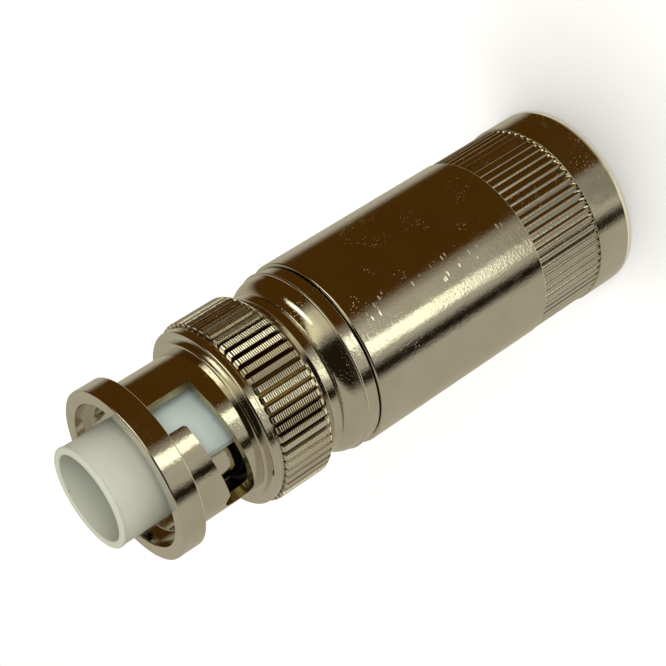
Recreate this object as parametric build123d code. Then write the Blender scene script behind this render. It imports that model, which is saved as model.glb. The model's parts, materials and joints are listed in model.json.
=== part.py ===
from build123d import *
from math import cos, radians, sin, sqrt
import os

# A high-voltage bayonet plug, standing on its cable end. Millimetres, +Z along the axis
# toward the mouth, origin at the centre of the rear face. The side that faces -Y is the
# one with the first cam window. Radii are chained outward from the standard socket's
# contact, so each wall, step and clearance below can be set by itself.

# Fits between pieces
running_fit = 0.08
slip_fit = 0.03
face_gap = 0.05
thread_fit = 0.1
stack_clearance = 0.15
washer_clearance = 0.12

# Contacts, insulators and gasket
contact_r = 4.1
contact_wall = 0.42
contact_reach = 5.0
foot_flange = 0.35
contact_foot = 0.8
foot_depth = 2.6
slot_angle = 95.0
slot_centre = 17.5
slot_root = 0.6
finger_bead = 0.12
bead_length = 0.9
gasket_thickness = 0.9
gasket_clearance = 0.05
nose_inset = 0.19
nose_insulator_wall = 0.53
bore_draft = 0.6
mouth_edge = 0.18
tip_gap = 0.18
insulator_reach = 6.25
web_thickness = 3.4
pin_r = 0.8
pin_recess = 4.6
pin_tip_round = 0.45
cup_wall = 0.4
cup_hole_r = 0.9
cup_depth = 3.4
pin_shelf = 2.2
rear_insulator_length = 12.5
cup_overhang = 0.6

# Connector body
nose_wall = 0.7
nose_edge = 0.2
bore_step = 0.15
tail_wall = 2.2
tail_length = 11.95
tail_edge = 0.3
undercut_length = 1.0
undercut_depth = 0.4
closing_gap = 0.25
rim_inset = 0.28
rim_length = 1.05
rim_edge = 0.15
rim_step = 0.07
shoulder_length = 1.85
shoulder_round = 1.6
shoulder_taper = 0.33
washer_width = 0.9
spring_gap = 1.2
collar_length = 1.1
nose_length = 1.4

# Rear barrel: the clamp nut with a shallow knurled band near its end
barrel_length = 25.35
barrel_wall = 1.15
barrel_relief_depth = 0.35
barrel_thread_length = 12.4
end_wall = 1.8
end_edge = 0.45
end_zone_step = 0.07
front_edge = 0.15
band_start = 3.35
band_length = 5.85
band_depth = 0.05
band_grooves = 67
band_groove_width = 0.3
band_groove_floor = 0.06
band_groove_depth = 0.16

# Cable clamp stack inside the barrel, from its end wall forward
cable_r = 3.0
cable_hole_clearance = 0.5
cable_hole_edge = 0.4
washer_hole_clearance = 0.2
gland_hole_clearance = 0.05
pusher_wall = 1.6
washer_thickness = 0.8
gland_thickness = 3.0
clamp_flange = 0.8
clamp_nose_length = 4.6
clamp_wall = 0.9
clamp_taper = 0.35

# Coupling sleeve
nose_gap = 0.15
neck_wall = 0.73
neck_length = 5.5
stud_height = 0.7
ring_wall = 1.05
ring_length = 1.9
ring_edge = 0.18
mouth_depth = 1.1
mouth_edge_in = 0.15
step_rise = 0.57
step_length = 0.35
step_edge = 0.2
cavity_step = 0.52
grip_wall = 1.0
grip_length = 4.15
grip_edge = 0.22
grip_ribs = 58
rib_groove_width = 0.4
rib_groove_floor = 0.16
rib_groove_depth = 0.36
sleeve_lap = 0.1
collar_inset = 1.95
tail_ring_length = 1.5
tail_ring_drop = 0.75
tail_ring_band = 0.7
cavity_edge = 0.12
relief_width = 0.22
relief_depth = 0.32
shoulder_ring_inset = 0.25
shoulder_ring_length = 0.62
shoulder_ring_edge = 0.2

# Cam windows, angles in degrees about the axis from the side that faces -Y
window_count = 2
entry_angle = 20.0
entry_width = 25.5
turn_angle = 90.0
stud_r = 1.0
stud_clearance = 0.07
window_floor = 1.55
ramp_start = 2.2
ramp_drop = 1.6
floor_drop = 1.1
detent_rise = 0.3
ramp_corner = 0.3
ramp_lead = 10.0
cut_overlap = 0.35
cutter_overshoot = 0.12

# Retaining ring, slip washer and spring washers
ring_thickness = 0.55
ring_groove_depth = 0.3
ring_journal_gap = 0.3
ring_opening = 24.0
slip_thickness = 0.35
wave_strip = 0.2
wave_count = 3

# Radii from the contact outward
inner_contact_r = contact_r - contact_wall
contact_foot_r = contact_r + foot_flange
main_bore_r = contact_r - bore_step
nose_insulator_r = contact_r - nose_inset
nose_insulator_bore_r = nose_insulator_r - nose_insulator_wall
cup_r = cup_hole_r + cup_wall
nose_r = contact_r + nose_wall
neck_bore_r = nose_r + nose_gap
neck_r = neck_bore_r + neck_wall
mouth_r = neck_bore_r + stud_height
ring_r = mouth_r + ring_wall
step_r = neck_r + step_rise
cavity_r = neck_r + cavity_step
collar_r = cavity_r - running_fit
journal_r = cavity_r - washer_width
grip_r = cavity_r + grip_wall
shoulder_ring_r = grip_r - shoulder_ring_inset
tail_r = main_bore_r + tail_wall
barrel_thread_r = tail_r + thread_fit
barrel_r = barrel_thread_r + barrel_wall
clamp_bore_r = barrel_thread_r - barrel_relief_depth
clamp_piece_r = clamp_bore_r - stack_clearance
rim_r = barrel_r - rim_inset
cable_hole_r = cable_r + cable_hole_clearance
washer_hole_r = cable_r + washer_hole_clearance
gland_hole_r = cable_r + gland_hole_clearance
stud_way_r = stud_r + stud_clearance

# Heights along the axis
tail_end = barrel_length + closing_gap - tail_length
clamp_z = tail_end - clamp_flange
gland_z = clamp_z - gland_thickness
washer_z = gland_z - washer_thickness
rim_z = barrel_length + closing_gap
shoulder_z = rim_z + rim_length
journal_z = shoulder_z + shoulder_length
sleeve_rear = journal_z - sleeve_lap
grip_z = sleeve_rear + tail_ring_length
collar_z = grip_z + collar_inset
collar_top = collar_z + collar_length
nose_top = collar_top + nose_length
cavity_top = collar_top + face_gap
grip_top = grip_z + grip_length
relief_top = grip_top + relief_width
shoulder_ring_top = relief_top + shoulder_ring_length
step_top = shoulder_ring_top + step_length
ring_z = step_top + neck_length
ring_top = ring_z + ring_length
contact_foot_z = nose_top - foot_depth
contact_top = nose_top + contact_reach
insulator_top = contact_top + insulator_reach
floor_z = step_top + window_floor
slip_z = collar_z - spring_gap - slip_thickness
ring_seat_z = slip_z - ring_thickness


def turned(outline, rounds=()):
    """Spin an outline of (radius, height) points about the axis, with some corners rounded."""
    profile = make_face(Polyline(*outline, close=True))
    for radius, height, size in rounds:
        corner = min(profile.vertices(), key=lambda v: (v.X - radius) ** 2 + (v.Y - height) ** 2)
        profile = fillet(corner, size)
    return revolve(Plane.XZ * profile, Axis.Z)


def tube(outer, inner, low, high):
    """A plain ring or tube between two heights."""
    return turned([(inner, low), (outer, low), (outer, high), (inner, high)])


def sector(inner, outer, low, high, first, last):
    """Part of a tube between two angles."""
    section = Polyline((inner, low), (outer, low), (outer, high), (inner, high), close=True)
    part = revolve(Plane.XZ * make_face(section), Axis.Z, last - first)
    return Rot(0, 0, first - 90) * part


def facing(angle):
    """A plane that holds the axis, its local x pointing outward at this angle from -Y."""
    outward = (sin(radians(angle)), -cos(radians(angle)), 0)
    side = (cos(radians(angle)), sin(radians(angle)), 0)
    return Plane(origin=(0, 0, 0), x_dir=outward, z_dir=tuple(-s for s in side))


def ribbon(angles, inner, outer, low, high, straight=False):
    """A band around the axis through upright sections, its edges set by two height functions."""
    sections = []
    for angle in angles:
        bottom, top = low(angle), high(angle)
        outline = [(inner, bottom), (outer, bottom), (outer, top), (inner, top)]
        sections.append(facing(angle) * make_face(Polyline(*outline, close=True)))
    return loft(sections, ruled=straight)


def steps(first, last, count):
    """Evenly spaced values from first to last."""
    return [first + (last - first) * i / count for i in range(count + 1)]


def groove_cutters(radius, depth, width, floor, low, high, count):
    """Straight grooves all round a grip, wider at the surface than at the floor."""
    slope = (width - floor) / 2 / depth
    reach = depth + cutter_overshoot
    half_top = floor / 2 + slope * reach
    outline = [(radius - depth, -floor / 2), (radius - depth + reach, -half_top),
               (radius - depth + reach, half_top), (radius - depth, floor / 2)]
    cutter = extrude(Plane.XY.offset(low) * make_face(Polyline(*outline, close=True)), high - low)
    return [Rot(0, 0, 360 * i / count) * cutter for i in range(count)]


def rear_barrel():
    """The clamp nut: a smooth tube, internally threaded at the front, knurled near its end."""
    end_r = barrel_r + end_zone_step
    thread_z = barrel_length - barrel_thread_length
    band_top = band_start + band_length
    outline = [(cable_hole_r + cable_hole_edge, 0), (end_r - end_edge, 0), (end_r - end_edge / 4, end_edge / 4),
               (end_r, end_edge), (end_r, band_start), (barrel_r - band_depth, band_start),
               (barrel_r - band_depth, band_top), (barrel_r, band_top),
               (barrel_r, barrel_length - front_edge), (barrel_r - front_edge, barrel_length),
               (barrel_thread_r + front_edge, barrel_length),
               (barrel_thread_r, barrel_length - front_edge), (barrel_thread_r, thread_z),
               (clamp_bore_r, thread_z - barrel_relief_depth), (clamp_bore_r, end_wall),
               (cable_hole_r, end_wall), (cable_hole_r, cable_hole_edge)]
    cutters = groove_cutters(barrel_r, band_groove_depth, band_groove_width, band_groove_floor,
                             band_start, band_top, band_grooves)
    return turned(outline) - cutters


def pressure_sleeve():
    """Plain tube between the barrel's end wall and the clamp washer."""
    return tube(clamp_piece_r, clamp_piece_r - pusher_wall, end_wall + face_gap, washer_z - face_gap)


def clamp_washer():
    """Flat washer behind the rubber gland."""
    return tube(clamp_piece_r, washer_hole_r, washer_z, gland_z)


def clamp_gasket():
    """Rubber gland ring that grips the cable's jacket, with a V groove in its front face."""
    middle = (clamp_piece_r + gland_hole_r) / 2
    notch = gland_thickness / 4
    return turned([(gland_hole_r, gland_z), (clamp_piece_r, gland_z), (clamp_piece_r, clamp_z),
                   (middle + notch, clamp_z), (middle, clamp_z - notch), (middle - notch, clamp_z),
                   (gland_hole_r, clamp_z)])


def braid_clamp():
    """Flange and tapered nose that hold the cable's braid against the body's tail."""
    nose_rear_r = main_bore_r - slip_fit
    tip_r = nose_rear_r - clamp_taper
    inner_r = tip_r - clamp_wall
    tip_z = tail_end + clamp_nose_length
    return turned([(inner_r, clamp_z), (clamp_piece_r, clamp_z), (clamp_piece_r, tail_end),
                   (nose_rear_r, tail_end), (tip_r, tip_z), (inner_r, tip_z)])


def connector_body():
    """Turned body: threaded tail, rounded shoulder, journal with a collar, and a nose."""
    foot_top = contact_foot_z + contact_foot
    shoulder_end_r = rim_r + rim_step - shoulder_taper
    outline = [(main_bore_r, tail_end), (tail_r - tail_edge, tail_end), (tail_r, tail_end + tail_edge),
               (tail_r, rim_z - undercut_length), (tail_r - undercut_depth, rim_z - undercut_length),
               (tail_r - undercut_depth, rim_z), (rim_r - rim_edge, rim_z), (rim_r, rim_z + rim_edge),
               (rim_r, shoulder_z), (rim_r + rim_step, shoulder_z), (shoulder_end_r, journal_z),
               (journal_r, journal_z), (journal_r, collar_z), (collar_r, collar_z),
               (collar_r, collar_top), (nose_r, collar_top), (nose_r, nose_top - nose_edge),
               (nose_r - nose_edge, nose_top), (contact_r + slip_fit, nose_top),
               (contact_r + slip_fit, foot_top), (contact_foot_r + slip_fit, foot_top),
               (contact_foot_r + slip_fit, contact_foot_z), (main_bore_r, contact_foot_z)]
    return turned(outline, [(shoulder_end_r, journal_z, shoulder_round)])


def ramp_edge(angle):
    """Height of a window's front edge at an angle: the ramp that draws the plug home."""
    corner = entry_angle - entry_width / 2
    travel = min(max((corner - angle) / turn_angle, 0), 1)
    ramp = max(ramp_start - ramp_drop * travel ** 1.3, 2 * stud_way_r - floor_drop)
    short = ramp_corner - min(max(radians(corner - angle) * neck_r, 0), ramp_corner)
    return floor_z + ramp + ramp_corner - sqrt(ramp_corner ** 2 - short ** 2)


def floor_edge(angle):
    """Height of a window's rear edge at an angle, kept a stud's width behind the ramp."""
    travel = min(max((entry_angle - angle) / turn_angle, 0), 1)
    return floor_z - floor_drop * travel


def cam_window(turn):
    """One bayonet slot: straight entry from the mouth, helical ramp, round end with a detent."""
    inner = neck_bore_r - cut_overlap
    outer = neck_r + cut_overlap
    near = entry_angle - entry_width / 2
    far = entry_angle + entry_width / 2
    last = entry_angle - turn_angle
    lead = near - ramp_lead
    entry = sector(inner, outer, floor_z + stud_r, ring_z, near, far)
    channel = sector(inner, mouth_r - mouth_edge_in, ring_z - cut_overlap,
                     ring_top - mouth_depth + cut_overlap, near, far)
    ramp = ribbon(steps(far, near, 3) + steps(near, lead, 6)[1:] + steps(lead, last, 12)[1:],
                  inner, outer, floor_edge, ramp_edge, straight=True)
    seat_z = floor_edge(last) + stud_way_r + detent_rise / 2
    seat = Plane(origin=(0, 0, seat_z), x_dir=(0, 0, 1), z_dir=(sin(radians(last)), -cos(radians(last)), 0))
    end_hole = extrude(seat.offset(inner) * SlotCenterToCenter(detent_rise, 2 * stud_way_r), outer - inner)
    return [Rot(0, 0, turn) * piece for piece in (entry, channel, ramp, end_hole)]


def coupling_sleeve():
    """Bayonet sleeve in one piece: front ring, windowed neck, shoulder ring and ribbed grip."""
    mouth_floor = ring_top - mouth_depth
    groove_r = cavity_r + ring_groove_depth
    tail_ring_r = grip_r - tail_ring_drop
    outline = [(cavity_r + cavity_edge, sleeve_rear), (tail_ring_r, sleeve_rear),
               (tail_ring_r, sleeve_rear + tail_ring_band), (grip_r - grip_edge, grip_z),
               (grip_r, grip_z + grip_edge), (grip_r, grip_top - grip_edge), (grip_r - grip_edge, grip_top),
               (grip_r - relief_depth, grip_top), (grip_r - relief_depth, relief_top),
               (shoulder_ring_r, relief_top), (shoulder_ring_r, shoulder_ring_top - shoulder_ring_edge),
               (shoulder_ring_r - shoulder_ring_edge, shoulder_ring_top), (step_r, shoulder_ring_top),
               (step_r, step_top - step_edge), (step_r - step_edge, step_top), (neck_r, step_top),
               (neck_r, ring_z), (ring_r - ring_edge, ring_z), (ring_r, ring_z + ring_edge),
               (ring_r, ring_top - ring_edge), (ring_r - ring_edge, ring_top),
               (mouth_r + mouth_edge_in, ring_top), (mouth_r, ring_top - mouth_edge_in),
               (mouth_r, mouth_floor), (neck_bore_r, mouth_floor), (neck_bore_r, cavity_top),
               (cavity_r, cavity_top), (cavity_r, slip_z), (groove_r, slip_z),
               (groove_r, ring_seat_z), (cavity_r, ring_seat_z), (cavity_r, sleeve_rear + cavity_edge)]
    cutters = groove_cutters(grip_r, rib_groove_depth, rib_groove_width, rib_groove_floor,
                             grip_z - cut_overlap, grip_top, grip_ribs)
    for i in range(window_count):
        cutters += cam_window(360 * i / window_count)
    return turned(outline) - cutters


def retaining_ring():
    """Open snap ring that sits in the groove inside the sleeve's rear."""
    inner_r = journal_r + ring_journal_gap
    outer_r = cavity_r + ring_groove_depth - slip_fit
    whole = tube(outer_r, inner_r, ring_seat_z + slip_fit, slip_z - slip_fit)
    gap = sector(inner_r - cut_overlap, outer_r + cut_overlap, ring_seat_z, slip_z,
                 -ring_opening / 2, ring_opening / 2)
    return whole - Rot(0, 0, 180) * gap


def slip_washer():
    """Flat washer that the retaining ring pushes and the springs bear on."""
    return tube(cavity_r - washer_clearance, journal_r + washer_clearance, slip_z, slip_z + slip_thickness)


def wave_washer(low, high, phase):
    """Spring washer bent into waves, touching its neighbours at its crests."""
    middle = (low + high - wave_strip) / 2
    swing = (high - low - wave_strip) / 2

    def bottom(angle):
        return middle + swing * cos(radians(wave_count * (angle + phase)))

    def top(angle):
        return bottom(angle) + wave_strip

    quarters = [ribbon(steps(90 * q, 90 * q + 90, 9), journal_r + washer_clearance,
                       cavity_r - washer_clearance, bottom, top) for q in range(4)]
    return quarters[0] + quarters[1:]


def outer_contact():
    """Slotted contact tube: two wide slots leave two fingers with a small bead at the tips."""
    bead_z = contact_top - bead_length
    foot_top = contact_foot_z + contact_foot - slip_fit
    outline = [(inner_contact_r, contact_foot_z), (contact_foot_r, contact_foot_z),
               (contact_foot_r, foot_top), (contact_r, foot_top), (contact_r, bead_z),
               (contact_r + finger_bead, bead_z + bead_length / 3),
               (contact_r + finger_bead, contact_top - bead_length / 3),
               (contact_r, contact_top), (inner_contact_r, contact_top)]
    side = slot_angle / 2
    slot = sector(inner_contact_r - cut_overlap, contact_r + cut_overlap, nose_top + slot_root,
                  contact_top + cut_overlap, slot_centre - side, slot_centre + side)
    return turned(outline) - [slot, Rot(0, 0, 180) * slot]


def mating_gasket():
    """Rubber ring on the body's nose that the socket's shell presses on."""
    return tube(nose_r - gasket_clearance, contact_r + 2 * gasket_clearance, nose_top, nose_top + gasket_thickness)


def front_insulator():
    """White insulator: slim behind the fingers' tips, full size ahead of them, deeply bored."""
    slim_r = inner_contact_r - slip_fit
    step_z = contact_top + tip_gap
    web_top = contact_foot_z + web_thickness
    lip = mouth_edge / 2
    outline = [(pin_r + slip_fit, contact_foot_z), (slim_r, contact_foot_z), (slim_r, step_z),
               (nose_insulator_r, step_z), (nose_insulator_r, insulator_top - mouth_edge),
               (nose_insulator_r - mouth_edge, insulator_top), (nose_insulator_bore_r + lip, insulator_top),
               (nose_insulator_bore_r, insulator_top - lip), (nose_insulator_bore_r - bore_draft, web_top),
               (pin_r + slip_fit, web_top)]
    return turned(outline)


def rear_insulator():
    """Plain insulator in the body's bore, stepped to carry the centre contact."""
    low = contact_foot_z - rear_insulator_length
    shelf = contact_foot_z - pin_shelf
    return turned([(cup_r + slip_fit, low), (main_bore_r - slip_fit, low), (main_bore_r - slip_fit, contact_foot_z),
                   (pin_r + slip_fit, contact_foot_z), (pin_r + slip_fit, shelf), (cup_r + slip_fit, shelf)])


def centre_contact():
    """Pin with a rounded tip, stepping up to a solder cup at its rear."""
    low = contact_foot_z - rear_insulator_length - cup_overhang
    shelf = contact_foot_z - pin_shelf - face_gap
    tip = insulator_top - pin_recess
    outline = [(0, low + cup_depth), (cup_hole_r, low + cup_depth), (cup_hole_r, low), (cup_r, low),
               (cup_r, shelf), (pin_r, shelf), (pin_r, tip - pin_tip_round),
               (pin_r - pin_tip_round * 0.7, tip - pin_tip_round * 0.2), (0, tip)]
    return turned(outline)


def build():
    """Every piece of the plug by its node's name."""
    spring_low, spring_high = slip_z + slip_thickness, collar_z
    spring_middle = (spring_low + spring_high) / 2
    return {
        "rear_barrel": rear_barrel(),
        "pressure_sleeve": pressure_sleeve(),
        "clamp_washer": clamp_washer(),
        "clamp_gasket": clamp_gasket(),
        "braid_clamp": braid_clamp(),
        "connector_body": connector_body(),
        "coupling_sleeve": coupling_sleeve(),
        "retaining_ring": retaining_ring(),
        "slip_washer": slip_washer(),
        "wave_washer_rear": wave_washer(spring_low, spring_middle, 0),
        "wave_washer_front": wave_washer(spring_middle, spring_high, 60),
        "outer_contact": outer_contact(),
        "mating_gasket": mating_gasket(),
        "front_insulator": front_insulator(),
        "rear_insulator": rear_insulator(),
        "centre_contact": centre_contact(),
    }


os.makedirs("parts", exist_ok=True)
for name, shape in build().items():
    export_step(shape, f"parts/{name}.step")
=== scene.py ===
"""A high-voltage bayonet plug in nickel-plated brass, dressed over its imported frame."""

import json
import logging
import math
from dataclasses import dataclass
from enum import Enum
from typing import Callable, Sequence

import bmesh
import bpy
from mathutils import Matrix, Vector

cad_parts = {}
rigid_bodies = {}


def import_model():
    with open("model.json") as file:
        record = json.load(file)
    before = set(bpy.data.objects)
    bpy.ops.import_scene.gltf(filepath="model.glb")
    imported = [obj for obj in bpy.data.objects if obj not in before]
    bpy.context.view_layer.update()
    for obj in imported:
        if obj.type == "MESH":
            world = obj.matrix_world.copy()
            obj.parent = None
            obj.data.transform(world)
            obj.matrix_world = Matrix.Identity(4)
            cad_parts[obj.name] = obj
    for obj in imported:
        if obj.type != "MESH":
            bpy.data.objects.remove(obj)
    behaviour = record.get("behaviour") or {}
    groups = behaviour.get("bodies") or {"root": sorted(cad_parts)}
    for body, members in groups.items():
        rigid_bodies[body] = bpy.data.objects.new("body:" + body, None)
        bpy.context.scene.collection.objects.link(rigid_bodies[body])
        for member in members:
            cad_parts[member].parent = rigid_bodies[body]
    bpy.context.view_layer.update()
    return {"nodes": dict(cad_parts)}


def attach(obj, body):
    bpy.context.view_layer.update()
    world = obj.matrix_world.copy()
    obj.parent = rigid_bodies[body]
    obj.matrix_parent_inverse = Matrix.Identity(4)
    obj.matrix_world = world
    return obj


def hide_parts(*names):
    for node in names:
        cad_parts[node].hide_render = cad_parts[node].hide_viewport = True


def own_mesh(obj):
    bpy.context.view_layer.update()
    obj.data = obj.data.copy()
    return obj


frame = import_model()
MM = 0.001
LOG = logging.getLogger("plug")


class Slot(Enum):
    """The record's material slots."""

    NICKEL = "nickel_plate"
    STEEL = "spring_steel"
    RUBBER = "black_rubber"
    INSULATOR = "white_insulator"
    GOLD = "gold_contact"


def linear(code: str) -> tuple[float, float, float, float]:
    """Turn an sRGB hex colour into linear values.

    Args:
        code: the colour as six hex digits after a hash.

    Returns:
        Red, green and blue, linear, and an alpha of 1.
    """
    channels = [int(code[i:i + 2], 16) / 255 for i in (1, 3, 5)]
    red, green, blue = [c / 12.92 if c <= 0.04045 else ((c + 0.055) / 1.055) ** 2.4 for c in channels]
    return red, green, blue, 1.0


def add_node(tree: bpy.types.NodeTree, kind: str, inputs: dict | None = None,
             **settings: object) -> bpy.types.Node:
    """Add a node with its settings, its input values and its links.

    Args:
        tree: the node tree that takes it.
        kind: the node's type name, without the leading ShaderNode.
        inputs: input name or number to a value or to the socket that feeds it.
        settings: attributes of the node.

    Returns:
        The new node.
    """
    node = tree.nodes.new("ShaderNode" + kind)
    for key, value in settings.items():
        setattr(node, key, value)
    for key, value in (inputs or {}).items():
        if isinstance(value, bpy.types.NodeSocket):
            tree.links.new(value, node.inputs[key])
        else:
            node.inputs[key].default_value = value
    return node


def new_material(name: str) -> tuple[bpy.types.Material, bpy.types.NodeTree, bpy.types.Node]:
    """Start a node material.

    Args:
        name: the material's name.

    Returns:
        The material, its tree and its principled shader.
    """
    material = bpy.data.materials.new(name)
    material.use_nodes = True
    tree = material.node_tree
    return material, tree, tree.nodes["Principled BSDF"]


def object_point(tree: bpy.types.NodeTree) -> bpy.types.NodeSocket:
    """Give the socket of object coordinates, in metres."""
    return add_node(tree, "TexCoord").outputs["Object"]


def scaled_noise(tree: bpy.types.NodeTree, point: bpy.types.NodeSocket, grain_mm: float,
                 stretch: Vector = Vector((1, 1, 1)), detail: float = 3.0) -> bpy.types.NodeSocket:
    """Noise whose grain has a real size.

    Args:
        tree: the node tree.
        point: the coordinates, in metres.
        grain_mm: the size of a grain.
        stretch: factors on the three axes, below 1 to stretch the grain.
        detail: the noise's detail.

    Returns:
        The noise's value, around 0.5.
    """
    mapped = add_node(tree, "Mapping", {"Vector": point, "Scale": stretch})
    noise = add_node(tree, "TexNoise", {"Vector": mapped.outputs[0], "Scale": 1 / (grain_mm * MM),
                                        "Detail": detail, "Roughness": 0.6})
    return noise.outputs["Fac"]


def mapped_range(tree: bpy.types.NodeTree, value: bpy.types.NodeSocket, source: tuple[float, float],
                 target: tuple[float, float]) -> bpy.types.NodeSocket:
    """Map a value from one range to another, clamped.

    Args:
        tree: the node tree.
        value: the socket to map.
        source: the lowest and highest value that come in.
        target: what they become.

    Returns:
        The mapped value.
    """
    node = add_node(tree, "MapRange", {"Value": value, "From Min": source[0], "From Max": source[1],
                                       "To Min": target[0], "To Max": target[1]})
    return node.outputs["Result"]


def arithmetic(tree: bpy.types.NodeTree, operation: str, first: object,
               second: object = 0.0) -> bpy.types.NodeSocket:
    """One sum on values or sockets.

    Args:
        tree: the node tree.
        operation: the math node's operation.
        first: a value or a socket.
        second: a value or a socket.

    Returns:
        The result's socket.
    """
    return add_node(tree, "Math", {0: first, 1: second}, operation=operation).outputs[0]


def inside(tree: bpy.types.NodeTree, value: bpy.types.NodeSocket, first: float, last: float,
           blur: float) -> bpy.types.NodeSocket:
    """A mask that is 1 between two values and fades to 0 within them.

    Args:
        tree: the node tree.
        value: the socket to judge.
        first: where the mask starts to rise.
        last: where it has fallen to 0.
        blur: how far it takes to rise and to fall.

    Returns:
        The mask.
    """
    rise = mapped_range(tree, value, (first, first + blur), (0, 1))
    return arithmetic(tree, "MULTIPLY", rise, mapped_range(tree, value, (last - blur, last), (1, 0)))


def axis_angle(tree: bpy.types.NodeTree, east: bpy.types.NodeSocket,
               north: bpy.types.NodeSocket) -> bpy.types.NodeSocket:
    """The angle about the plug's axis, in radians from -Y toward +X.

    Args:
        tree: the node tree.
        east: the coordinate along X.
        north: the coordinate along Y.

    Returns:
        The angle's socket.
    """
    return arithmetic(tree, "ARCTAN2", east, arithmetic(tree, "MULTIPLY", north, -1.0))


def turning_rings(tree: bpy.types.NodeTree, height: bpy.types.NodeSocket,
                  pitch_mm: float) -> bpy.types.NodeSocket:
    """Noise that varies along the axis only, as a lathe tool leaves it.

    Args:
        tree: the node tree.
        height: the coordinate along the axis, in metres.
        pitch_mm: the width of a ring.

    Returns:
        The noise's value.
    """
    place = arithmetic(tree, "MULTIPLY", height, 1 / (pitch_mm * MM))
    rings = add_node(tree, "TexNoise", {"W": place, "Scale": 1.0, "Detail": 2.0}, noise_dimensions="1D")
    return rings.outputs["Fac"]


def bumped(tree: bpy.types.NodeTree, relief: bpy.types.NodeSocket, depth_mm: float,
           normal: bpy.types.NodeSocket | None = None, strength: float = 1.0,
           invert: bool = False) -> bpy.types.NodeSocket:
    """Bend the shading normal by a relief.

    Args:
        tree: the node tree.
        relief: the relief, from 0 to 1.
        depth_mm: the depth that 1 stands for.
        normal: the normal to start from, if it isn't the face's own.
        strength: the share of the relief that is used.
        invert: whether 1 is the bottom.

    Returns:
        The bent normal.
    """
    inputs = {"Height": relief, "Strength": strength, "Distance": depth_mm * MM}
    if normal is not None:
        inputs["Normal"] = normal
    return add_node(tree, "Bump", inputs, invert=invert).outputs[0]


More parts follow.
